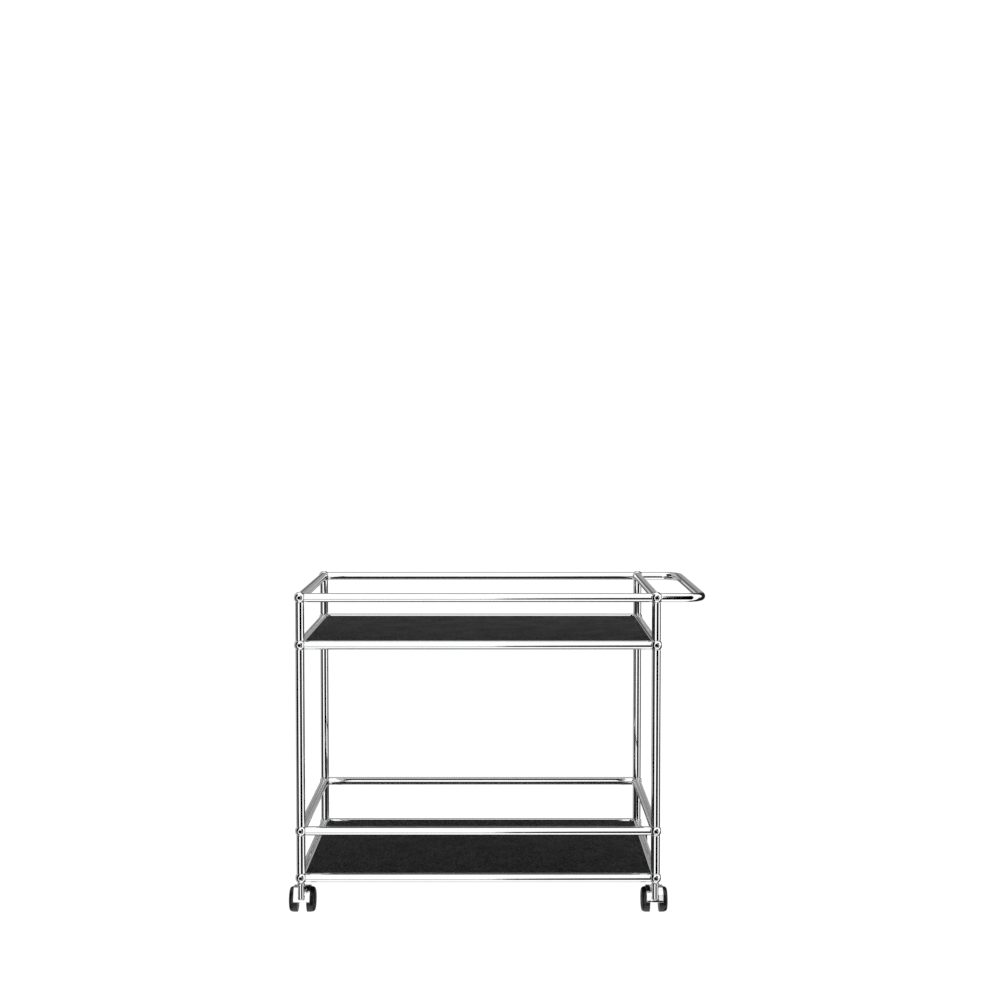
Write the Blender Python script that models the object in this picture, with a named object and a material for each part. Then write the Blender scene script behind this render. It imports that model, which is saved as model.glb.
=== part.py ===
"""Serving trolley: chrome tubes and balls, two black sheet-metal shelves, a handle and four twin-wheel castors.

Metres, +Z up, +X along the cart towards its handle, the open front facing -Y. The origin is on the floor, under the
middle of the whole trolley, with the castors trailing towards +Y.
"""

from math import cos, pi, radians, sin, sqrt

import bmesh
import bpy
from mathutils import Matrix, Vector

# Frame module: distances between ball centres
SPAN_X = 0.750
SPAN_Y = 0.500
LEVELS = {"lower_shelf": 0.0, "lower_guard": 0.100, "upper_shelf": 0.495, "upper_guard": 0.595}
POSTS = (("lower", "lower_shelf"), ("middle", "lower_guard"), ("upper", "upper_shelf"))

# Balls, and the connectors that hold the tubes on them
BALL_RADIUS = 0.0125
BALL_FLAT = 0.0115
HOLE_RADIUS = 0.0035
HOLE_DEPTH = 0.006
CONNECTOR_REACH = 0.022
BALL_SIDES = 16
BALL_RINGS = 8
HOLE_SIDES = 8
ROD_SIDES = 12

# Tubes
TUBE_RADIUS = 0.0095
TUBE_WALL = 0.001
TUBE_SIDES = 16
TUBE_START = 0.0096
GAP = 0.0003

# Handle
HANDLE_REACH = 0.0975
HANDLE_BEND = 0.040
BEND_STEPS = 7

# Shelves, measured from the axis of the rails around them
SHELF_TOP = 0.0055
SHELF_LIP = -0.006
SHELF_SHEET = 0.001
SHELF_LIP_WALL = 0.0012
SHELF_CORNER = 0.0145
SHELF_CLEARANCE = 0.00045

# Castors
BALL_HEIGHT = 0.081
TRAIL = 0.030
WHEEL_RADIUS = 0.027
WHEEL_INNER = 0.0095
WHEEL_OUTER = 0.028
WHEEL_SIDES = 20
WHEEL_EDGE = 0.0007
WHEEL_SHOULDER = ((0.0078, 0), (0.0034, 0.0019), (0.0010, 0.0060))
WHEEL_BORE_END = 0.0250
AXLE_RADIUS = 0.0035
AXLE_END = 0.0245
RUNNING_GAP = 0.0003
HOOD_RADIUS = 0.0300
HOOD_WALL = 0.0016
HOOD_HALF_WIDTH = 0.0178
HOOD_FRONT = radians(1)
HOOD_BACK = radians(160)
HOOD_STEPS = 12
BOSS_RADIUS = 0.0068
BOSS_TOP = 0.0645
BOSS_BORE_END = 0.038
BOSS_SIDES = 16
STEM_RADIUS = 0.004
COLLAR_RADIUS = 0.0082
WEB_HALF_WIDTH = 0.0065
WEB_HEIGHT = 0.0605
WEB_START = radians(84)
WEB_STEPS = 5
HUB_RADIUS = 0.0055
HUB_START = radians(60)
HUB_END = radians(120)
HUB_STEPS = 3
SHARP_ANGLE = radians(32)

LEFT = (WHEEL_OUTER - SPAN_X - HANDLE_REACH - TUBE_RADIUS) / 2
RIGHT = LEFT + SPAN_X
FRONT = (BALL_FLAT - SPAN_Y - TRAIL - HOOD_RADIUS * cos(pi - HOOD_BACK)) / 2
BACK = FRONT + SPAN_Y
CORNERS = {
    "front_left": (LEFT, FRONT),
    "front_right": (RIGHT, FRONT),
    "back_left": (LEFT, BACK),
    "back_right": (RIGHT, BACK),
}
DIRECTIONS = {
    "+X": Vector((1, 0, 0)),
    "-X": Vector((-1, 0, 0)),
    "+Y": Vector((0, 1, 0)),
    "-Y": Vector((0, -1, 0)),
    "+Z": Vector((0, 0, 1)),
    "-Z": Vector((0, 0, -1)),
}


def clear_scene():
    for obj in list(bpy.data.objects):
        bpy.data.objects.remove(obj)


def material(name, colour, metallic, roughness):
    made = bpy.data.materials.new(name)
    made.use_nodes = True
    shader = made.node_tree.nodes["Principled BSDF"]
    shader.inputs["Base Color"].default_value = (*colour, 1)
    shader.inputs["Metallic"].default_value = metallic
    shader.inputs["Roughness"].default_value = roughness
    return made


def mesh_of(bm, name):
    """A mesh of the bmesh's faces, turned outwards and shaded smooth between its sharp edges."""
    bmesh.ops.recalc_face_normals(bm, faces=bm.faces)
    mesh = bpy.data.meshes.new(name)
    bm.to_mesh(mesh)
    bm.free()
    shade(mesh)
    return mesh


def shade(mesh):
    mesh.shade_smooth()
    mesh.set_sharp_from_angle(angle=SHARP_ANGLE)


def place(name, mesh, finish, location, rotation=(0, 0, 0), parent=None):
    obj = bpy.data.objects.new(name, mesh)
    bpy.context.scene.collection.objects.link(obj)
    obj.location = location
    obj.rotation_euler = rotation
    obj.parent = parent
    if not mesh.materials:
        mesh.materials.append(finish)
    return obj


def helper(name, mesh):
    """An object that only joins or cuts others."""
    obj = bpy.data.objects.new(name, mesh)
    bpy.context.scene.collection.objects.link(obj)
    obj.hide_render = True
    obj.display_type = "WIRE"
    return obj


def joined(start, steps, name):
    """The start object's mesh after each (operation, other object) step. The start object is used up."""
    for operation, other in steps:
        modifier = start.modifiers.new(other.name, "BOOLEAN")
        modifier.operation = operation
        modifier.object = other
        modifier.solver = "EXACT"
    bpy.context.view_layer.update()
    evaluated = start.evaluated_get(bpy.context.evaluated_depsgraph_get())
    mesh = bpy.data.meshes.new_from_object(evaluated)
    mesh.name = name
    mesh.materials.clear()
    shade(mesh)
    bpy.data.objects.remove(start)
    return mesh


def turned(profile, sides, name, ring=False):
    """A profile of (along X, radius) points turned about the X axis. A ring's profile closes on itself."""
    bm = bmesh.new()
    points = [bm.verts.new((along, 0, radius)) for along, radius in profile]
    edges = [bm.edges.new(pair) for pair in zip(points, points[1:])]
    if ring:
        edges.append(bm.edges.new((points[-1], points[0])))
    bmesh.ops.spin(
        bm, geom=points + edges, cent=(0, 0, 0), axis=(1, 0, 0), angle=2 * pi, steps=sides, use_merge=True
    )
    bmesh.ops.remove_doubles(bm, verts=bm.verts, dist=1e-6)
    return mesh_of(bm, name)


def extruded(outline, half_width, name):
    """An outline of (y, z) points extruded along X, to both sides."""
    bm = bmesh.new()
    face = bm.faces.new([bm.verts.new((-half_width, y, z)) for y, z in outline])
    grown = bmesh.ops.extrude_face_region(bm, geom=[face])
    moved = [item for item in grown["geom"] if isinstance(item, bmesh.types.BMVert)]
    bmesh.ops.translate(bm, verts=moved, vec=(2 * half_width, 0, 0))
    return mesh_of(bm, name)


def box(size, centre, name):
    bm = bmesh.new()
    bmesh.ops.create_cube(bm, size=1, matrix=Matrix.Translation(centre) @ Matrix.Diagonal((*size, 1)))
    return mesh_of(bm, name)


def rod(start, end, radius, sides, name):
    """A solid round bar along X from start to end."""
    return turned([(start, 0), (start, radius), (end, radius), (end, 0)], sides, name)


# Tubes and handle


def tube_mesh(length, name):
    inner = TUBE_RADIUS - TUBE_WALL
    profile = [(0, TUBE_RADIUS), (length, TUBE_RADIUS), (length, inner), (0, inner)]
    return turned(profile, TUBE_SIDES, name, ring=True)


def add_posts(finish):
    heights = list(LEVELS.values())
    for (name, level), top in zip(POSTS, heights[1:]):
        length = top - LEVELS[level] - 2 * TUBE_START
        mesh = tube_mesh(length, "post_" + name)
        for corner, (x, y) in CORNERS.items():
            bottom = BALL_HEIGHT + LEVELS[level] + TUBE_START
            place(f"post_{name}_{corner}", mesh, finish, (x, y, bottom), (0, -pi / 2, 0))


def add_rails(finish):
    long_mesh = tube_mesh(SPAN_X - 2 * TUBE_START, "rail_long")
    short_mesh = tube_mesh(SPAN_Y - 2 * TUBE_START, "rail_short")
    for level, height in LEVELS.items():
        z = BALL_HEIGHT + height
        for side, y in (("front", FRONT), ("back", BACK)):
            place(f"rail_{level}_{side}", long_mesh, finish, (LEFT + TUBE_START, y, z))
        for side, x in (("left", LEFT), ("right", RIGHT)):
            place(f"rail_{level}_{side}", short_mesh, finish, (x, FRONT + TUBE_START, z), (0, 0, pi / 2))


def handle_mesh():
    """A tube bent into a U: out along +X, along +Y, and back, from the front ball's centre as its origin."""
    bm = bmesh.new()
    facing_x = Matrix.Translation((TUBE_START, 0, 0)) @ Matrix.Rotation(pi / 2, 4, "Y")
    for radius in (TUBE_RADIUS, TUBE_RADIUS - TUBE_WALL):
        bmesh.ops.create_circle(bm, segments=TUBE_SIDES, radius=radius, matrix=facing_x)
    ends = list(bm.edges)
    bmesh.ops.bridge_loops(bm, edges=ends)

    def straight(edges, step):
        grown = bmesh.ops.extrude_edge_only(bm, edges=edges)["geom"]
        moved = [item for item in grown if isinstance(item, bmesh.types.BMVert)]
        bmesh.ops.translate(bm, verts=moved, vec=step)
        return [item for item in grown if isinstance(item, bmesh.types.BMEdge)]

    def bend(edges, centre):
        turn = bmesh.ops.spin(
            bm, geom=edges, cent=centre, axis=(0, 0, 1), angle=pi / 2, steps=BEND_STEPS
        )
        return [item for item in turn["geom_last"] if isinstance(item, bmesh.types.BMEdge)]

    arm = HANDLE_REACH - HANDLE_BEND - TUBE_START
    bend_x = HANDLE_REACH - HANDLE_BEND
    ends = straight(ends, (arm, 0, 0))
    ends = bend(ends, (bend_x, HANDLE_BEND, 0))
    ends = straight(ends, (0, SPAN_Y - 2 * HANDLE_BEND, 0))
    ends = bend(ends, (bend_x, SPAN_Y - HANDLE_BEND, 0))
    ends = straight(ends, (-arm, 0, 0))
    bmesh.ops.bridge_loops(bm, edges=ends)
    return mesh_of(bm, "handle")


def add_handle(finish):
    place("handle", handle_mesh(), finish, (RIGHT, FRONT, BALL_HEIGHT + LEVELS["upper_guard"]))


# Balls


def towards(name, mesh, direction):
    """A helper whose +X points along the direction."""
    obj = helper(name, mesh)
    obj.rotation_euler = Vector((1, 0, 0)).rotation_difference(direction).to_euler()
    return obj


def stem_mesh():
    """The collar and the pin on which a castor swivels, along +X from the centre of its ball."""
    collar_end = BALL_HEIGHT - BOSS_TOP - RUNNING_GAP
    pin_end = BALL_HEIGHT - BOSS_BORE_END - RUNNING_GAP
    profile = [(0, 0), (0, COLLAR_RADIUS), (collar_end, COLLAR_RADIUS), (collar_end, STEM_RADIUS)]
    profile += [(pin_end, STEM_RADIUS), (pin_end, 0)]
    return turned(profile, ROD_SIDES, "stem")


def ball_sides(corner, level):
    """The directions in which a ball holds a tube, and those in which its threaded hole stays open."""
    outer_x = "-X" if "left" in corner else "+X"
    inner_x = "+X" if "left" in corner else "-X"
    outer_y = "-Y" if "front" in corner else "+Y"
    inner_y = "+Y" if "front" in corner else "-Y"
    held = [inner_x, inner_y]
    if level != "upper_guard":
        held.append("+Z")
    if level != "lower_shelf":
        held.append("-Z")
    if level == "upper_guard" and outer_x == "+X":
        held.append("+X")
    free = [side for side in (outer_x, outer_y, "+Z") if side not in held]
    return held, free


def add_balls(finish):
    connector = rod(0, CONNECTOR_REACH, TUBE_RADIUS - TUBE_WALL - GAP, ROD_SIDES, "connector")
    bore = rod(BALL_FLAT - HOLE_DEPTH, BALL_RADIUS + GAP, HOLE_RADIUS, HOLE_SIDES, "threaded_hole")
    flats = helper("ball_flats", box([2 * BALL_FLAT] * 3, (0, 0, 0), "ball_flats"))
    stem = towards("castor_stem", stem_mesh(), DIRECTIONS["-Z"])
    connectors = {}
    bores = {}
    for side, direction in DIRECTIONS.items():
        connectors[side] = towards("connector_" + side, connector, direction)
        bores[side] = towards("hole_" + side, bore, direction)
    for level, height in LEVELS.items():
        for corner, (x, y) in CORNERS.items():
            held, free = ball_sides(corner, level)
            bm = bmesh.new()
            bmesh.ops.create_uvsphere(bm, u_segments=BALL_SIDES, v_segments=BALL_RINGS, radius=BALL_RADIUS)
            start = helper("ball_blank", mesh_of(bm, "ball_blank"))
            steps = [("INTERSECT", flats)]
            steps += [("UNION", connectors[side]) for side in held]
            if level == "lower_shelf":
                steps.append(("UNION", stem))
            steps += [("DIFFERENCE", bores[side]) for side in free]
            mesh = joined(start, steps, f"ball_{level}_{corner}")
            place(f"ball_{level}_{corner}", mesh, finish, (x, y, BALL_HEIGHT + height))
    for used in [flats, stem, *connectors.values(), *bores.values()]:
        bpy.data.objects.remove(used)


# Shelves


def shelf_mesh():
    """A pressed sheet whose edges follow the inner side of the rails, centred between the four posts."""
    reach = sqrt((TUBE_RADIUS + GAP) ** 2 - SHELF_LIP**2)
    size = (SPAN_X - 2 * reach + GAP, SPAN_Y - 2 * reach + GAP, SHELF_TOP - SHELF_LIP)
    middle = (0, 0, (SHELF_TOP + SHELF_LIP) / 2)
    start = helper("shelf_blank", box(size, middle, "shelf_blank"))
    steps = []
    corner_space = rod(-BALL_RADIUS, BALL_RADIUS, SHELF_CORNER, TUBE_SIDES, "corner_space")
    for number, (x, y) in enumerate(((1, 1), (1, -1), (-1, 1), (-1, -1))):
        cutter = helper(f"corner_space_{number}", corner_space)
        cutter.location = (x * SPAN_X / 2, y * SPAN_Y / 2, 0)
        cutter.rotation_euler = (0, pi / 2, 0)
        steps.append(("DIFFERENCE", cutter))
    rail_space = rod(-SPAN_X / 2, SPAN_X / 2, TUBE_RADIUS + SHELF_CLEARANCE, TUBE_SIDES, "rail_space")
    for number, (x, y) in enumerate(((0, 1), (0, -1), (1, 0), (-1, 0))):
        cutter = helper(f"rail_space_{number}", rail_space)
        cutter.location = (x * SPAN_X / 2, y * SPAN_Y / 2, 0)
        cutter.rotation_euler = (0, 0, pi / 2 if x else 0)
        steps.append(("DIFFERENCE", cutter))
    inset = 2 * (TUBE_RADIUS + GAP + SHELF_LIP_WALL)
    hollow_top = SHELF_TOP - SHELF_SHEET
    hollow = box(
        (SPAN_X - inset, SPAN_Y - inset, 2 * hollow_top - 2 * SHELF_LIP), (0, 0, SHELF_LIP), "shelf_hollow"
    )
    steps.append(("DIFFERENCE", helper("shelf_hollow", hollow)))
    mesh = joined(start, steps, "shelf")
    for _, used in steps:
        bpy.data.objects.remove(used)
    return mesh


def add_shelves(finish):
    mesh = shelf_mesh()
    middle = ((LEFT + RIGHT) / 2, (FRONT + BACK) / 2)
    for name in ("lower", "upper"):
        place(f"shelf_{name}", mesh, finish, (*middle, BALL_HEIGHT + LEVELS[f"{name}_shelf"]))


# Castors, modelled about the foot of the swivel axis


def arc(radius, start, end, steps):
    """Points (y, z) round the axle, from the front over the top."""
    angles = [start + (end - start) * step / steps for step in range(steps + 1)]
    return [(TRAIL - radius * cos(angle), WHEEL_RADIUS + radius * sin(angle)) for angle in angles]


def hood_mesh():
    """The cover over both wheels, the web between them, the swivel boss and the axle."""
    outer = arc(HOOD_RADIUS, HOOD_FRONT, HOOD_BACK, HOOD_STEPS)
    inner = arc(HOOD_RADIUS - HOOD_WALL, HOOD_BACK, HOOD_FRONT, HOOD_STEPS)
    cover = helper("hood_cover", extruded(outer + inner, HOOD_HALF_WIDTH, "hood_cover"))
    boss_foot = outer[0][1]
    outline = [(0, boss_foot), (0, WEB_HEIGHT)]
    outline += arc(HOOD_RADIUS - HOOD_WALL / 2, WEB_START, HOOD_BACK, WEB_STEPS)
    outline += arc(-HUB_RADIUS, HUB_START, HUB_END, HUB_STEPS)
    web = helper("hood_web", extruded(outline, WEB_HALF_WIDTH, "hood_web"))
    boss = towards("boss", rod(boss_foot, BOSS_TOP, BOSS_RADIUS, BOSS_SIDES, "boss"), DIRECTIONS["+Z"])
    bore_radius = STEM_RADIUS + RUNNING_GAP
    bore_mesh = rod(BOSS_BORE_END, BOSS_TOP + BOSS_RADIUS, bore_radius, ROD_SIDES, "boss_bore")
    bore = towards("boss_bore", bore_mesh, DIRECTIONS["+Z"])
    axle = helper("axle", rod(-AXLE_END, AXLE_END, AXLE_RADIUS, ROD_SIDES, "axle"))
    axle.location = (0, TRAIL, WHEEL_RADIUS)
    steps = [("UNION", web), ("UNION", boss), ("UNION", axle), ("DIFFERENCE", bore)]
    mesh = joined(cover, steps, "castor_hood")
    for _, used in steps:
        bpy.data.objects.remove(used)
    return mesh


def wheel_mesh():
    """One wheel about its axle, from its flat inner face to its domed outer face, with a blind bore."""
    bore = AXLE_RADIUS + RUNNING_GAP
    rim = WHEEL_RADIUS - WHEEL_EDGE
    profile = [(WHEEL_BORE_END, 0), (WHEEL_BORE_END, bore), (WHEEL_INNER, bore), (WHEEL_INNER, rim)]
    profile.append((WHEEL_INNER + WHEEL_EDGE, WHEEL_RADIUS))
    profile += [(WHEEL_OUTER - inward, WHEEL_RADIUS - down) for inward, down in WHEEL_SHOULDER]
    profile.append((WHEEL_OUTER, 0))
    return turned(profile, WHEEL_SIDES, "castor_wheel")


def add_castors(chrome, black):
    hood = hood_mesh()
    wheel = wheel_mesh()
    for corner, (x, y) in CORNERS.items():
        castor = place(f"castor_{corner}_hood", hood, chrome, (x, y, 0))
        for side, turn in (("left", pi), ("right", 0)):
            name = f"castor_{corner}_wheel_{side}"
            place(name, wheel, black, (0, TRAIL, WHEEL_RADIUS), (0, 0, turn), castor)


def main():
    clear_scene()
    tube_chrome = material("tube_chrome", (0.80, 0.81, 0.82), 1.0, 0.06)
    ball_chrome = material("ball_chrome", (0.80, 0.81, 0.82), 1.0, 0.05)
    shelf_black = material("shelf_black", (0.021, 0.021, 0.022), 0.0, 0.45)
    hood_chrome = material("hood_chrome", (0.80, 0.81, 0.82), 1.0, 0.07)
    wheel_black = material("wheel_black", (0.018, 0.018, 0.019), 0.0, 0.40)
    add_posts(tube_chrome)
    add_rails(tube_chrome)
    add_handle(tube_chrome)
    add_balls(ball_chrome)
    add_shelves(shelf_black)
    add_castors(hood_chrome, wheel_black)


main()
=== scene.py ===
"""Looks of a serving trolley: chrome tubes and balls, two black powder-coated shelves and four castors.

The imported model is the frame. Metres, +Z up, +X towards the handle, the open front facing -Y.
"""

import itertools
from math import cos, pi, radians, sin, sqrt

import bmesh
import bpy
import numpy as np
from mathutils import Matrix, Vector


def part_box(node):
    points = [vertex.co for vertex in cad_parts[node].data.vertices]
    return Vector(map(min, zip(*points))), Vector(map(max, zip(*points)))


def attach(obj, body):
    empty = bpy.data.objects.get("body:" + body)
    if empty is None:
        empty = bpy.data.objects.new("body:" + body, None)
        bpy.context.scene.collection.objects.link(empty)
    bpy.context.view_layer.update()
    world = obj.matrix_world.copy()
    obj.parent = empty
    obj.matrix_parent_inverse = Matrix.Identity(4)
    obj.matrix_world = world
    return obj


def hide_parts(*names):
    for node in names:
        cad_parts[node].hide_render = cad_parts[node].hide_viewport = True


CORNERS = ("front_left", "front_right", "back_left", "back_right")
LEVELS = ("lower_shelf", "lower_guard", "upper_shelf", "upper_guard")

SHARP_ANGLE = radians(30)

# Skins on distance functions. The last three are parts of the skin's step.
SKIN_PASSES = 8
LEAST_SLOPE = 0.1
SKIN_NUDGE = 0.02
SHADE_NUDGE = 0.1
SKIN_REACH = 0.6

# Tubes
TUBE_RADIUS = 0.0095
TUBE_BORE = 0.0085
TUBE_SIDES = 64
TUBE_EDGE = 0.0012
TUBE_CURL = 0.0007
END_STEPS = 4
HANDLE_BEND = 0.040
BEND_STEPS = 32

# Balls
BALL_RADIUS = 0.0125
BALL_FLAT = 0.0115
BALL_FLAT_EDGE = 0.0003
HOLE_RADIUS = 0.0034
HOLE_FLOOR = 0.0055
HOLE_EDGE = 0.00015
THREAD_PITCH = 0.00125
THREAD_DEPTH = 0.00022
THREAD_START = 0.0008
COUNTERSINK = 0.0007
COUNTERSINK_SCALE = 0.7
BALL_STEP = 0.00036

# Shelves, measured from the axis of the rails around them
SHELF_TOP = 0.0055
SHELF_LIP = -0.006
SHELF_REACH = 0.0098
SHELF_WRAP = 0.0099
SHELF_INSIDE = 0.0111
SHELF_SHEET = 0.0011
SHELF_EDGE = 0.0009
SHELF_CORNER = 0.0145
EDGE_STEPS = 4
LIP_STEPS = 8
CORNER_STEPS = 14

# Castors, measured from the foot of the swivel axis
TRAIL = 0.030
AXLE_HEIGHT = 0.027

# The hood is part of a drum round the axle. Its front and back ends are angles from the front over the top.
HOOD_RADIUS = 0.0289
HOOD_HALF_WALL = 0.0011
HOOD_HALF_WIDTH = 0.0180
HOOD_EDGE = 0.9 * HOOD_HALF_WALL
HOOD_FRONT = radians(1)
HOOD_BACK = radians(160)
HOOD_END_EDGE = 0.0009
HOOD_LOW = (-0.0186, -0.0086, 0.0190)
HOOD_HIGH = (0.0186, 0.0600, 0.0662)
HOOD_STEP = 0.0007

# The swivel boss
BOSS_RADIUS = 0.0068
BOSS_TOP = 0.0645
BOSS_TOP_EDGE = 0.0008
BOSS_FOOT = 0.0325
BOSS_FOOT_EDGE = 0.0050
BOSS_FILLET = 0.0010
BOSS_BORE = 0.0043
BOSS_BORE_END = 0.038
BOSS_BORE_EDGE = 0.0004

# The web between the wheels. These are the (y, z) corners of its outline, which the hood closes at the back.
WEB_HALF_WIDTH = 0.0062
WEB_EDGE = 0.0008
WEB_FILLET = 0.0016
WEB_FRONT = ((0.0, 0.0275), (0.0, 0.0600), (0.0270, 0.0562))
WEB_UNDERSIDE = ((0.0574, 0.0370), (0.0330, 0.0216), (0.0270, 0.0216), (0.0, 0.0275))

# Turned parts of a castor: (along the axis, radius, size of the rounded corner)
AXLE_RADIUS = 0.0035
AXLE_END = 0.0245
AXLE_EDGE = 0.0005
AXLE_SIDES = 32
AXLE_PROFILE = (
    (-AXLE_END, 0, 0),
    (-AXLE_END, AXLE_RADIUS, AXLE_EDGE),
    (AXLE_END, AXLE_RADIUS, AXLE_EDGE),
    (AXLE_END, 0, 0),
)
WHEEL_SIDES = 96
TYRE_PROFILE = (
    (0.0098, 0.0205, 0),
    (0.0098, 0.0270, 0.0012),
    (0.0205, 0.0270, 0.0040),
    (0.0268, 0.0246, 0.0035),
    (0.0276, 0.0195, 0.0010),
    (0.0262, 0.0190, 0.0004),
    (0.0262, 0.0185, 0),
    (0.0098, 0.0185, 0),
)
CORE_PROFILE = (
    (0.0095, 0.0038, 0),
    (0.0095, 0.0183, 0.0006),
    (0.0270, 0.0183, 0.0008),
    (0.0272, 0.0160, 0.0008),
    (0.0258, 0.0140, 0.0014),
    (0.0258, 0.0085, 0.0008),
    (0.0246, 0.0080, 0.0004),
    (0.0246, 0.0038, 0),
)
CAP_SIDES = 64
CAP_PROFILE = (
    (0.0248, 0, 0),
    (0.0248, 0.0076, 0.0002),
    (0.0268, 0.0076, 0.0010),
    (0.0276, 0.0050, 0.0020),
    (0.0278, 0, 0),
)
STEM_TOP = 0.0700
STEM_RADIUS = 0.0040
COLLAR_RADIUS = 0.0083
COLLAR_SIDES = 48
STEM_PROFILE = (
    (0.0, 0, 0),
    (0.0, STEM_RADIUS, 0),
    (0.0002, STEM_RADIUS, 0),
    (0.0016, STEM_RADIUS, 0.0002),
    (0.0016, COLLAR_RADIUS, 0.0005),
    (0.0052, COLLAR_RADIUS, 0.0006),
    (0.0052, STEM_RADIUS, 0),
    (0.0310, STEM_RADIUS, 0.0006),
    (0.0310, 0, 0),
)

# Studio. Azimuth 0 is in front of the trolley and 90 at its handle. Each panel has its name, its left edge as
# (azimuth, elevation) points from foot to top, the azimuth of its right edge, its shades at foot and top, and
# its distance.
WORLD_STRENGTH = 1.06
FLOOR_REACH = 40
FLOOR_GLOW = 1.04
PANEL_ROWS = 24
PANEL_COLUMNS = 24
FAR = 60.0
NEAR = 55.0
FRONT_EDGE = (
    (0.0, -46), (0.0, -17), (2.0, -6), (4.6, -1), (5.9, 0.5), (6.1, 15), (6.5, 25), (7.1, 34), (7.8, 44)
)
PANELS = (
    ("panel_front_right", FRONT_EDGE, 54, (0.0, 0.0), FAR),
    ("panel_front_low", ((-75, -45), (-75, -34)), 1, (0.0, 0.0), FAR),
    ("panel_left", ((-89, -70), (-89, 60)), -38, (0.0, 0.0), FAR),
    ("panel_left_grey", ((-126, -70), (-126, 60)), -89, (0.36, 0.40), FAR),
    ("panel_left_pale", ((-150, -70), (-150, 60)), -126, (0.55, 0.60), FAR),
    ("panel_right", ((86, -70), (86, -10), (97, -6), (110, 2), (110, 60)), 158, (0.01, 0.02), FAR),
    ("panel_back_low", ((158, -70), (158, 0)), 210, (0.46, 0.40), FAR),
    ("panel_back_line", ((182, -11), (182, -4)), 210, (0.06, 0.06), NEAR),
    ("panel_back_mid", ((158, 0), (158, 9)), 210, (0.44, 0.31), FAR),
    ("panel_back_patch", ((183, 4), (183, 9)), 187.5, (0.10, 0.10), NEAR),
    ("panel_back_upper", ((158, 9), (158, 16)), 210, (0.31, 0.18), FAR),
    ("panel_back_high", ((158, 16), (158, 62)), 210, (0.20, 0.16), FAR),
)

# Camera
SENSOR_WIDTH = 36
LENS = 61.6
CAMERA_RIGHT = 0.4212
CAMERA_BACK = 3.582
CAMERA_UP = 0.968
CAMERA_TILT = radians(90 - 2.68)


# Meshes


def loft(name, rings, wrap=False):
    """A closed skin over rings of points. It ends in flat caps, or the last ring joins the first one."""
    count = len(rings[0])
    faces = []
    for row in range(len(rings) if wrap else len(rings) - 1):
        low = row * count
        high = (row + 1) % len(rings) * count
        for column in range(count):
            following = (column + 1) % count
            faces.append((low + column, low + following, high + following, high + column))
    if not wrap:
        faces.append(tuple(range(count)))
        faces.append(tuple(range((len(rings) - 1) * count, len(rings) * count)))
    mesh = bpy.data.meshes.new(name)
    mesh.from_pydata([tuple(point) for ring in rings for point in ring], [], faces)
    bm = bmesh.new()
    bm.from_mesh(mesh)
    bmesh.ops.remove_doubles(bm, verts=bm.verts, dist=1e-7)
    bmesh.ops.recalc_face_normals(bm, faces=bm.faces)
    bm.to_mesh(mesh)
    bm.free()
    mesh.shade_smooth()
    mesh.set_sharp_from_angle(angle=SHARP_ANGLE)
    return mesh


def ring(centre, across, upright, radius, sides):
    """A circle of points about centre, in the plane of the two directions."""
    turns = [2 * pi * side / sides for side in range(sides)]
    return [centre + radius * (cos(turn) * across + sin(turn) * upright) for turn in turns]


def turned(name, profile, sides, wrap=False):
    """A profile of (along X, radius) points turned about the X axis."""
    across, upright = Vector((0, 1, 0)), Vector((0, 0, 1))
    rings = [ring(Vector((along, 0, 0)), across, upright, radius, sides) for along, radius in profile]
    return loft(name, rings, wrap)


def rounded(points, steps=6):
    """A profile whose inner corners are replaced by curves of the size that each point gives last."""
    smooth = [points[0][:2]]
    for before, corner, after in zip(points, points[1:], points[2:]):
        here = Vector(corner[:2])
        if not corner[2]:
            smooth.append(tuple(here))
            continue
        start = here + (Vector(before[:2]) - here).normalized() * corner[2]
        end = here + (Vector(after[:2]) - here).normalized() * corner[2]
        for step in range(steps + 1):
            t = step / steps
            smooth.append(tuple(start * (1 - t) ** 2 + here * 2 * t * (1 - t) + end * t * t))
    smooth.append(points[-1][:2])
    return smooth


def slope_of(distance, points, nudge):
    """How fast a distance function rises along each axis."""
    sides = [distance(points + nudge * axis) - distance(points - nudge * axis) for axis in np.eye(3)]
    return np.stack(sides, -1) / (2 * nudge)


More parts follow.
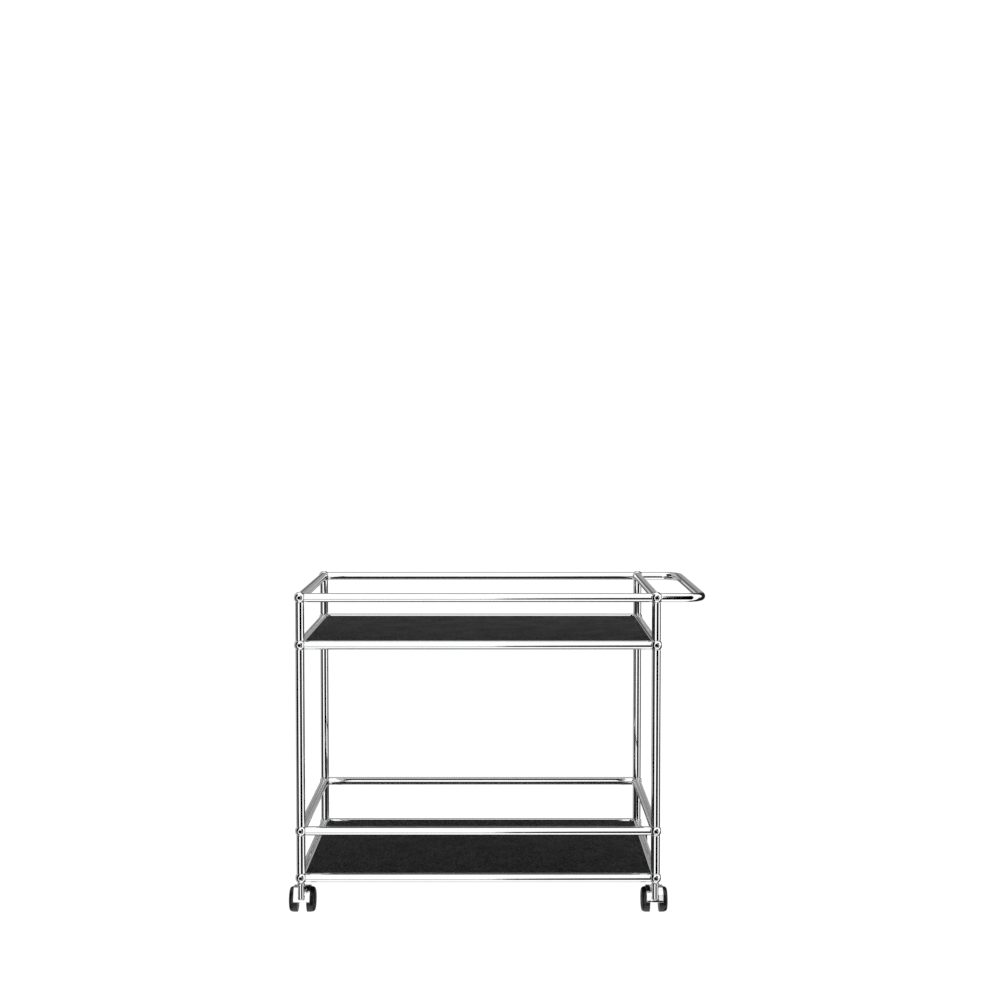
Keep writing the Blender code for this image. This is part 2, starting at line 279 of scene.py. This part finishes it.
def skinned(name, distance, low, high, step):
    """The surface where a distance function is zero, as small quads shaded by the function's slope."""
    low = np.array(low)
    sizes = [int(round((top - bottom) / step)) + 1 for bottom, top in zip(low, high)]
    nodes = low + step * np.stack(np.meshgrid(*[np.arange(size) for size in sizes], indexing="ij"), -1)
    inside = distance(nodes) < 0
    cells = np.array(sizes) - 1
    count = np.zeros(cells, int)
    for i, j, k in itertools.product((0, 1), repeat=3):
        count += inside[i : i + cells[0], j : j + cells[1], k : k + cells[2]]
    crossed = (count > 0) & (count < 8)
    number = np.full(cells, -1)
    number[crossed] = np.arange(crossed.sum())
    middles = low + step * (np.argwhere(crossed) + 0.5)
    points = middles.copy()
    for _ in range(SKIN_PASSES):
        slope = slope_of(distance, points, step * SKIN_NUDGE)
        points -= slope * (distance(points) / np.maximum((slope**2).sum(-1), LEAST_SLOPE))[:, None]
        points = np.clip(points, middles - step * SKIN_REACH, middles + step * SKIN_REACH)
    outward = slope_of(distance, points, step * SHADE_NUDGE)
    outward /= np.maximum(np.linalg.norm(outward, axis=-1), 1e-6)[:, None]
    faces = []
    for axis in range(3):
        first, second = [other for other in range(3) if other != axis]
        ahead = np.roll(inside, -1, axis)
        edges = np.argwhere(inside != ahead)
        keep = (edges[:, axis] < cells[axis]) & (edges[:, first] > 0) & (edges[:, second] > 0)
        keep &= (edges[:, first] < cells[first]) & (edges[:, second] < cells[second])
        edges = edges[keep]
        around = []
        for back_first, back_second in ((0, 0), (1, 0), (1, 1), (0, 1)):
            cell = edges.copy()
            cell[:, first] -= back_first
            cell[:, second] -= back_second
            around.append(number[tuple(cell.T)])
        faces.append(np.stack(around, -1))
    mesh = bpy.data.meshes.new(name)
    mesh.from_pydata(points.tolist(), [], np.concatenate(faces).tolist())
    bm = bmesh.new()
    bm.from_mesh(mesh)
    bmesh.ops.recalc_face_normals(bm, faces=bm.faces)
    bm.to_mesh(mesh)
    bm.free()
    mesh.shade_smooth()
    mesh.normals_split_custom_set_from_vertices(outward.tolist())
    return mesh


def blend_max(first, second, soft):
    """The larger of two distances, with a rounded edge where they meet."""
    mix = np.clip(0.5 + 0.5 * (first - second) / soft, 0, 1)
    return second + (first - second) * mix + soft * mix * (1 - mix)


def blend_min(first, second, soft):
    """The smaller of two distances, with a fillet where they meet."""
    return -blend_max(-first, -second, soft)


# Materials


def shader_of(name, colour, metallic, roughness):
    """A new material and its shader."""
    made = bpy.data.materials.new(name)
    made.use_nodes = True
    shader = made.node_tree.nodes["Principled BSDF"]
    shader.inputs["Base Color"].default_value = (*colour, 1)
    shader.inputs["Metallic"].default_value = metallic
    shader.inputs["Roughness"].default_value = roughness
    return made, shader


def pattern(tree, scale, detail, stretch=(1, 1, 1)):
    """Noise in the object's own space. Its scale is in features per metre."""
    place = tree.nodes.new("ShaderNodeTexCoord")
    mapping = tree.nodes.new("ShaderNodeMapping")
    mapping.inputs["Scale"].default_value = stretch
    noise = tree.nodes.new("ShaderNodeTexNoise")
    noise.inputs["Scale"].default_value = scale
    noise.inputs["Detail"].default_value = detail
    tree.links.new(place.outputs["Object"], mapping.inputs["Vector"])
    tree.links.new(mapping.outputs["Vector"], noise.inputs["Vector"])
    return noise.outputs["Fac"]


def spread(tree, value, low, high, target, start=0.3, end=0.7):
    """The pattern's usual range spread from low to high, into a number socket."""
    ranged = tree.nodes.new("ShaderNodeMapRange")
    ranged.inputs["From Min"].default_value = start
    ranged.inputs["From Max"].default_value = end
    ranged.inputs["To Min"].default_value = low
    ranged.inputs["To Max"].default_value = high
    tree.links.new(value, ranged.inputs["Value"])
    tree.links.new(ranged.outputs["Result"], target)


def tint(tree, value, dark, light, target, start=0.3, end=0.7):
    """The pattern as a change between two colours, into a colour socket."""
    ramp = tree.nodes.new("ShaderNodeValToRGB")
    low, high = ramp.color_ramp.elements
    low.position, high.position = start, end
    low.color, high.color = (*dark, 1), (*light, 1)
    tree.links.new(value, ramp.inputs["Fac"])
    tree.links.new(ramp.outputs["Color"], target)


def bumped(tree, shader, value, height, strength, before=None):
    """The pattern as a relief of this height, on top of an earlier one if there is one."""
    bump = tree.nodes.new("ShaderNodeBump")
    bump.inputs["Distance"].default_value = height
    bump.inputs["Strength"].default_value = strength
    tree.links.new(value, bump.inputs["Height"])
    if before:
        tree.links.new(before, bump.inputs["Normal"])
    tree.links.new(bump.outputs["Normal"], shader.inputs["Normal"])
    return bump.outputs["Normal"]


def chrome(name, stretch, roughness):
    """Chrome plate: faint polishing lines along the piece, a trace of haze, and a slightly uneven sheen."""
    made, shader = shader_of(name, (0.95, 0.955, 0.96), 1.0, roughness)
    tree = made.node_tree
    haze = pattern(tree, 30, 3)
    spread(tree, haze, roughness * 0.6, roughness * 1.6, shader.inputs["Roughness"])
    dark, light = (0.935, 0.94, 0.945), (0.965, 0.97, 0.975)
    tint(tree, haze, dark, light, shader.inputs["Base Color"])
    lines = pattern(tree, 900, 2, stretch)
    bumped(tree, shader, lines, height=0.000004, strength=0.5)
    return made


def powder_coat(name):
    """Black powder coat: a fine pebbled skin, a little uneven in tone and sheen."""
    made, shader = shader_of(name, (0.018, 0.018, 0.019), 0.0, 0.55)
    shader.inputs["Specular IOR Level"].default_value = 0.055
    tree = made.node_tree
    grain = pattern(tree, 230, 2)
    dark, light = (0.001, 0.001, 0.0012), (0.033, 0.033, 0.034)
    tint(tree, grain, dark, light, shader.inputs["Base Color"], start=0.43, end=0.57)
    spread(tree, pattern(tree, 14, 4), 0.46, 0.60, shader.inputs["Roughness"])
    pebbles = bumped(tree, shader, grain, height=0.00012, strength=0.6)
    bumped(tree, shader, pattern(tree, 90, 2), height=0.00015, strength=0.35, before=pebbles)
    return made


def moulded(name, dark, light, roughness, grain_scale, height):
    """Moulded plastic or rubber: a fine grain, scuffed a little lighter in places."""
    made, shader = shader_of(name, dark, 0.0, roughness)
    shader.inputs["Specular IOR Level"].default_value = 0.4
    tree = made.node_tree
    scuffs = pattern(tree, 120, 6)
    tint(tree, scuffs, dark, light, shader.inputs["Base Color"], start=0.35, end=0.75)
    spread(tree, scuffs, roughness * 0.85, roughness * 1.2, shader.inputs["Roughness"])
    bumped(tree, shader, pattern(tree, grain_scale, 3), height, strength=0.6)
    return made


# Pieces


def middle(node):
    """The middle of a CAD node's box."""
    low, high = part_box(node)
    return (low + high) / 2


def piece(name, mesh, finish, body, location=(0, 0, 0), rotation=(0, 0, 0), stands_for=()):
    """A visible piece that rides on a body, has its material's slot, and may replace CAD nodes."""
    obj = bpy.data.objects.new(name, mesh)
    bpy.context.scene.collection.objects.link(obj)
    obj.location = location
    obj.rotation_euler = rotation
    if not mesh.materials:
        mesh.materials.append(finish)
    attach(obj, body)
    if stands_for:
        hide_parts(*stands_for)
    return obj


def rolled_end():
    """How far each ring of a tube's end stands back from it, and how far it is drawn in."""
    turns = [pi / 2 * step / END_STEPS for step in range(END_STEPS + 1)]
    curl = [(TUBE_EDGE * (1 - sin(turn)), TUBE_CURL * (1 - cos(turn))) for turn in turns]
    return [(2 * TUBE_EDGE, 0.0)] + curl


def tube_mesh(length):
    """A tube along X with rolled ends, open from end to end."""
    right = [(length / 2 - back, TUBE_RADIUS - curl) for back, curl in rolled_end()]
    left = [(-along, radius) for along, radius in reversed(right)]
    inside = [(length / 2, TUBE_BORE), (-length / 2, TUBE_BORE)]
    return turned("tube", left + right + inside, TUBE_SIDES, wrap=True)


def add_tubes(nodes, finish):
    """The posts and rails, one mesh for each length, turned from X to the direction of the node."""
    meshes = {}
    for node in sorted(nodes):
        if not node.startswith(("post_", "rail_")):
            continue
        low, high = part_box(node)
        size = high - low
        length = round(max(size), 5)
        turn = ((0, 0, 0), (0, 0, pi / 2), (0, -pi / 2, 0))[list(size).index(max(size))]
        if length not in meshes:
            meshes[length] = tube_mesh(length)
        at = (low + high) / 2
        piece("tube_" + node, meshes[length], finish, "frame", at, turn, [node])


def handle_path():
    """Centres and directions along the handle's two bends."""
    low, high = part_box("handle")
    middle_x = high.x - TUBE_RADIUS - HANDLE_BEND
    front, back = low.y + TUBE_RADIUS + HANDLE_BEND, high.y - TUBE_RADIUS - HANDLE_BEND
    path = []
    for middle_y, start in ((front, 0.0), (back, pi / 2)):
        for step in range(BEND_STEPS + 1):
            angle = start + pi / 2 * step / BEND_STEPS
            offset = Vector((sin(angle), -cos(angle), 0)) * HANDLE_BEND
            path.append((Vector((middle_x, middle_y, (low.z + high.z) / 2)) + offset, angle))
    return path


def handle_mesh():
    """The handle's tube, from the front ball out, across and back to the rear ball."""
    upright = Vector((0, 0, 1))
    path = handle_path()
    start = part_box("handle")[0].x
    front = Vector((start, path[0][0].y, path[0][0].z))
    back = Vector((start, path[-1][0].y, path[-1][0].z))

    def end_ring(centre, inset, radius, facing):
        return ring(centre + Vector((inset, 0, 0)), Vector((0, facing, 0)), upright, radius, TUBE_SIDES)

    def bend_rings(radius):
        return [ring(at, Vector((-sin(a), cos(a), 0)), upright, radius, TUBE_SIDES) for at, a in path]

    rings = [end_ring(front, inset, TUBE_RADIUS - curl, 1) for inset, curl in reversed(rolled_end())]
    rings += bend_rings(TUBE_RADIUS)
    rings += [end_ring(back, inset, TUBE_RADIUS - curl, -1) for inset, curl in rolled_end()]
    rings.append(end_ring(back, 0, TUBE_BORE, -1))
    rings += bend_rings(TUBE_BORE)[::-1]
    rings.append(end_ring(front, 0, TUBE_BORE, 1))
    return loft("handle_tube", rings, wrap=True)


def ball_distance(at):
    """Distance to a ball with a flat and a threaded, countersunk hole on each of six sides."""
    sizes = np.abs(at)
    body = blend_max(np.linalg.norm(at, axis=-1) - BALL_RADIUS, sizes.max(-1) - BALL_FLAT, BALL_FLAT_EDGE)
    for axis in range(3):
        first, second = [other for other in range(3) if other != axis]
        out = np.hypot(at[..., first], at[..., second])
        turn = np.arctan2(at[..., second], at[..., first])
        thread = THREAD_DEPTH * np.cos(2 * pi * sizes[..., axis] / THREAD_PITCH + turn)
        hole = np.maximum(out - HOLE_RADIUS - thread, HOLE_FLOOR - sizes[..., axis])
        countersink = (out - HOLE_RADIUS - COUNTERSINK + (BALL_FLAT - sizes[..., axis])) * COUNTERSINK_SCALE
        body = blend_max(body, -np.minimum(hole, countersink), HOLE_EDGE)
    return body


def add_balls(finish, hole_shade_finish):
    """The 16 connector balls, with a near-black finish deep inside their threaded holes that is painted
    shade.
    """
    edge = BALL_RADIUS + 2 * BALL_STEP
    mesh = skinned("ball", ball_distance, (-edge,) * 3, (edge,) * 3, BALL_STEP)
    mesh.materials.append(finish)
    mesh.materials.append(hole_shade_finish)
    # Faces deep inside each threaded hole take the near-black finish, which is painted shade in the recess.
    for face in mesh.polygons:
        out = sorted(abs(value) for value in face.center)
        deep = out[2] < BALL_FLAT - THREAD_START
        if deep and sqrt(out[0] ** 2 + out[1] ** 2) < HOLE_RADIUS + 2 * THREAD_DEPTH:
            face.material_index = 1
    for level in LEVELS:
        z = middle(f"rail_{level}_front").z
        for corner in CORNERS:
            at = middle(f"post_lower_{corner}")
            node = f"ball_{level}_{corner}"
            place = (at.x, at.y, z)
            piece("chrome_" + node, mesh, finish, "frame", place, stands_for=[node])


def shelf_ring(half_x, half_y, inward, z):
    """The shelf's outline, moved inward, round the balls at its corners."""
    gap = SHELF_CORNER + inward - SHELF_REACH
    start = np.arcsin(inward / gap)
    points = []
    for sign_x, sign_y in ((1, 1), (-1, 1), (-1, -1), (1, -1)):
        turns = [start + (pi / 2 - 2 * start) * step / CORNER_STEPS for step in range(CORNER_STEPS + 1)]
        if sign_x * sign_y < 0:
            turns.reverse()
        for turn in turns:
            x, y = half_x - gap * sin(turn), half_y - gap * cos(turn)
            points.append(Vector((sign_x * x, sign_y * y, z)))
    return points


def shelf_mesh(half_x, half_y):
    """A pressed sheet: flat top, rounded edge, and a lip that follows the inner side of the rails."""
    rings = []
    shoulder = SHELF_TOP - SHELF_EDGE
    rim = sqrt(SHELF_WRAP**2 - shoulder**2)
    for step in range(EDGE_STEPS + 1):
        angle = pi / 2 * step / EDGE_STEPS
        rings.append((rim + SHELF_EDGE * (1 - sin(angle)), SHELF_TOP - SHELF_EDGE * (1 - cos(angle))))
    for z in np.linspace(shoulder, SHELF_LIP, LIP_STEPS + 1)[1:]:
        rings.append((sqrt(SHELF_WRAP**2 - z * z), z))
    rings += [(SHELF_INSIDE, SHELF_LIP), (SHELF_INSIDE, SHELF_TOP - SHELF_SHEET)]
    return loft("shelf_sheet", [shelf_ring(half_x, half_y, inward, z) for inward, z in rings])


def add_shelves(finish):
    """Both shelves, each level with the rails round it."""
    left, right = middle("post_lower_front_left"), middle("post_lower_front_right")
    back = middle("post_lower_back_left")
    half_x, half_y = (right.x - left.x) / 2, (back.y - left.y) / 2
    mesh = shelf_mesh(half_x, half_y)
    for name in ("lower", "upper"):
        z = middle(f"rail_{name}_shelf_front").z
        at = (left.x + half_x, left.y + half_y, z)
        piece("sheet_shelf_" + name, mesh, finish, "frame", at, stands_for=["shelf_" + name])


def hood_distance(at):
    """Distance to a castor's hood, the web between its wheels and the swivel boss, cast in one."""
    x, y, z = np.abs(at[..., 0]), at[..., 1], at[..., 2]
    out = np.hypot(y - TRAIL, z - AXLE_HEIGHT)
    turn = np.arctan2(z - AXLE_HEIGHT, TRAIL - y)
    side = x - HOOD_HALF_WIDTH + HOOD_EDGE
    wall = np.abs(out - HOOD_RADIUS) - HOOD_HALF_WALL + HOOD_EDGE
    shell = np.hypot(np.maximum(side, 0), np.maximum(wall, 0)) + np.minimum(np.maximum(side, wall), 0)
    ends = np.maximum(out * np.sin(HOOD_FRONT - turn), out * np.sin(turn - HOOD_BACK))
    shell = blend_max(shell - HOOD_EDGE, ends, HOOD_END_EDGE)
    web = blend_max(x - WEB_HALF_WIDTH, out - HOOD_RADIUS, WEB_EDGE)
    for (y0, z0), (y1, z1) in (*itertools.pairwise(WEB_FRONT), *itertools.pairwise(WEB_UNDERSIDE)):
        length = sqrt((y1 - y0) ** 2 + (z1 - z0) ** 2)
        web = blend_max(web, ((z1 - z0) * (y0 - y) + (y1 - y0) * (z - z0)) / length, WEB_EDGE)
    body = blend_min(shell, web, WEB_FILLET)
    column = blend_max(np.hypot(x, y) - BOSS_RADIUS, z - BOSS_TOP, BOSS_TOP_EDGE)
    column = blend_max(column, BOSS_FOOT - z, BOSS_FOOT_EDGE)
    body = blend_min(body, column, BOSS_FILLET)
    bore = np.maximum(np.hypot(x, y) - BOSS_BORE, BOSS_BORE_END - z)
    return blend_max(body, -bore, BOSS_BORE_EDGE)


def add_castors(hood_finish, steel, rubber, plastic):
    """Four castors. Stem and collar stay with the frame, the rest swivels, and the wheels also roll."""
    hood = skinned("castor_hood", hood_distance, HOOD_LOW, HOOD_HIGH, HOOD_STEP)
    axle = turned("castor_axle", rounded(AXLE_PROFILE), AXLE_SIDES)
    tyre = turned("castor_tyre", rounded(TYRE_PROFILE), WHEEL_SIDES, wrap=True)
    core = turned("castor_core", rounded(CORE_PROFILE), WHEEL_SIDES, wrap=True)
    cap = turned("castor_cap", rounded(CAP_PROFILE), CAP_SIDES)
    stem = turned("castor_collar", rounded(STEM_PROFILE), COLLAR_SIDES)
    for corner in CORNERS:
        at = middle(f"post_lower_{corner}")
        castor = f"castor_{corner}"
        foot, hub, top = (at.x, at.y, 0), (at.x, at.y + TRAIL, AXLE_HEIGHT), (at.x, at.y, STEM_TOP)
        piece(f"hood_{castor}", hood, hood_finish, castor, foot, stands_for=[castor + "_hood"])
        piece(f"axle_{castor}", axle, steel, castor, hub)
        piece(f"stem_{castor}", stem, steel, "frame", top, (0, pi / 2, 0))
        for side, turn in (("left", pi), ("right", 0)):
            wheel = f"{castor}_wheel_{side}"
            piece(f"tyre_{wheel}", tyre, rubber, wheel, hub, (0, 0, turn), [wheel])
            piece(f"core_{wheel}", core, plastic, wheel, hub, (0, 0, turn))
            piece(f"cap_{wheel}", cap, plastic, wheel, hub, (0, 0, turn))


# Studio


def panel(name, outline, right, shades, distance):
    """A large curved studio panel far from the trolley that shows only in reflections."""
    heights = np.linspace(outline[0][1], outline[-1][1], PANEL_ROWS + 1)
    lefts = np.interp(heights, [point[1] for point in outline], [point[0] for point in outline])
    points = []
    for height, left in zip(np.radians(heights), lefts):
        for turn in np.radians(np.linspace(left, right, PANEL_COLUMNS + 1)):
            away = Vector((sin(turn) * cos(height), -cos(turn) * cos(height), sin(height)))
            points.append(away * distance)
    faces = []
    for row, column in itertools.product(range(PANEL_ROWS), range(PANEL_COLUMNS)):
        corner = row * (PANEL_COLUMNS + 1) + column
        above = corner + PANEL_COLUMNS + 1
        faces.append((corner, corner + 1, above + 1, above))
    mesh = bpy.data.meshes.new(name)
    mesh.from_pydata(points, [], faces)
    made = bpy.data.materials.new(name)
    made.use_nodes = True
    tree = made.node_tree
    tree.nodes.clear()
    glow = tree.nodes.new("ShaderNodeEmission")
    place = tree.nodes.new("ShaderNodeTexCoord")
    split = tree.nodes.new("ShaderNodeSeparateXYZ")
    tree.links.new(place.outputs["Object"], split.inputs["Vector"])
    foot, top = points[0].z, points[-1].z
    spread(tree, split.outputs["Z"], *shades, glow.inputs["Strength"], foot, top)
    out = tree.nodes.new("ShaderNodeOutputMaterial")
    tree.links.new(glow.outputs["Emission"], out.inputs["Surface"])
    mesh.materials.append(made)
    obj = bpy.data.objects.new(name, mesh)
    bpy.context.scene.collection.objects.link(obj)
    obj.visible_camera = False
    obj.visible_diffuse = False
    obj.visible_shadow = False
    obj.visible_transmission = False


def add_floor():
    """A plain white floor. It glows, so that it shows no shadow, and reflections leave it out."""
    mesh = bpy.data.meshes.new("floor")
    sides = ((-1, -1), (1, -1), (1, 1), (-1, 1))
    mesh.from_pydata([(x * FLOOR_REACH, y * FLOOR_REACH, 0) for x, y in sides], [], [(0, 1, 2, 3)])
    made, shader = shader_of("floor_white", (0.025, 0.025, 0.025), 0.0, 0.9)
    shader.inputs["Specular IOR Level"].default_value = 0.0
    shader.inputs["Emission Color"].default_value = (1, 1, 1, 1)
    shader.inputs["Emission Strength"].default_value = FLOOR_GLOW
    uneven = pattern(made.node_tree, 3, 2)
    tint(made.node_tree, uneven, (0.02, 0.02, 0.02), (0.03, 0.03, 0.03), shader.inputs["Base Color"])
    mesh.materials.append(made)
    floor = bpy.data.objects.new("floor", mesh)
    bpy.context.scene.collection.objects.link(floor)
    floor.visible_glossy = False


def add_studio():
    """A white surround, with the panels that draw the dark lines on the chrome."""
    world = bpy.data.worlds.new("studio")
    bpy.context.scene.world = world
    world.use_nodes = True
    world.node_tree.nodes["Background"].inputs["Color"].default_value = (1, 1, 1, 1)
    world.node_tree.nodes["Background"].inputs["Strength"].default_value = WORLD_STRENGTH
    for name, outline, right, shades, distance in PANELS:
        panel(name, outline, right, shades, distance)


def add_camera(left, front, height):
    """The photograph's camera, placed from the middle of the lowest ball at the front left."""
    camera = bpy.data.objects.new("camera", bpy.data.cameras.new("camera"))
    bpy.context.scene.collection.objects.link(camera)
    camera.data.sensor_width = SENSOR_WIDTH
    camera.data.lens = LENS
    camera.location = (left + CAMERA_RIGHT, front - CAMERA_BACK, height + CAMERA_UP)
    camera.rotation_euler = (CAMERA_TILT, 0, 0)
    bpy.context.scene.camera = camera


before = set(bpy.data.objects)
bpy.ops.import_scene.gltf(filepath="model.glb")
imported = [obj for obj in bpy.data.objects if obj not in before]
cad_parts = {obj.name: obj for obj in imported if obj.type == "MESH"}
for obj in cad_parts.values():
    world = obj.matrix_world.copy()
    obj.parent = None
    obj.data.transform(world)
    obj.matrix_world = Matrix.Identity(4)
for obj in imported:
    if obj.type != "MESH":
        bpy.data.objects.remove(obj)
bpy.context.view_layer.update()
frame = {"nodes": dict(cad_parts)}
corner_post = middle("post_lower_front_left")
ball_height = middle("rail_lower_shelf_front").z
add_camera(corner_post.x, corner_post.y, ball_height)
add_studio()
add_floor()
bpy.context.scene.view_settings.view_transform = "Standard"

tube_finish = chrome("chrome_tube", (0.02, 1, 1), roughness=0.045)
ball_finish = chrome("chrome_ball", (1, 1, 1), roughness=0.04)
hood_finish = chrome("chrome_hood", (1, 1, 1), roughness=0.05)
bright_steel = chrome("bright_steel", (1, 0.05, 0.05), roughness=0.09)
# The finish deep in the balls' holes stands for their bare threaded steel, but it is painted near black as
# the shade inside each hole.
hole_shade_steel = moulded("threaded_steel_painted_shade", (0.004, 0.004, 0.004), (0.010, 0.010, 0.010), 0.6, 2500, 0.00003)
coat = powder_coat("black_powder_coat")
tyre_rubber = moulded("black_tyre", (0.003, 0.003, 0.0032), (0.016, 0.016, 0.017), 0.24, 900, 0.00005)
core_plastic = moulded("black_core", (0.003, 0.003, 0.0032), (0.010, 0.010, 0.011), 0.28, 1400, 0.00004)

add_tubes(frame["nodes"], tube_finish)
piece("tube_handle", handle_mesh(), tube_finish, "frame", stands_for=["handle"])
add_balls(ball_finish, hole_shade_steel)
add_shelves(coat)
add_castors(hood_finish, bright_steel, tyre_rubber, core_plastic)
